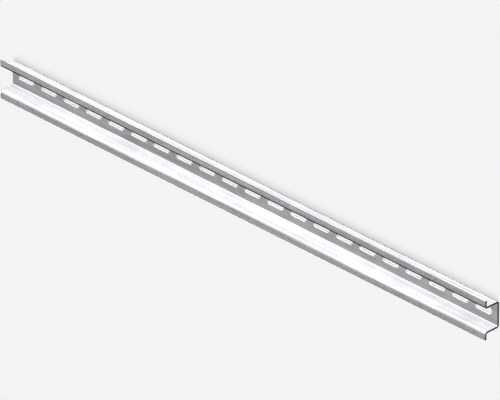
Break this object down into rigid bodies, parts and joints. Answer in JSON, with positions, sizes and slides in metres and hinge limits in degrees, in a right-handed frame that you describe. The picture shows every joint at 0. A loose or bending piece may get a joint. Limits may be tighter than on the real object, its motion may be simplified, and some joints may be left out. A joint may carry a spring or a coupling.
{
  "type": "slotted top-hat din rail",
  "caption": "Slotted steel top-hat mounting rail, 35 mm across its flanges and 15 mm deep, that wiring devices clip on to and that screws to a panel through its web.",
  "frame": {"origin": "middle of the web's flat mounting face, which is the middle of the bounding box's bottom", "axes": "+X along the rail; +Y across it, from one flange to the other; +Z out of the mounting face, towards the fronts of the flanges"},
  "size_m": [0.53, 0.035, 0.015],
  "materials": {
    "zinc_plated_steel": "satin zinc plating on cold-rolled steel strip, fine rolling marks along the rail"
  },
  "bodies": {
    "root": {"rail": "zinc_plated_steel"}
  },
  "joints": []
}
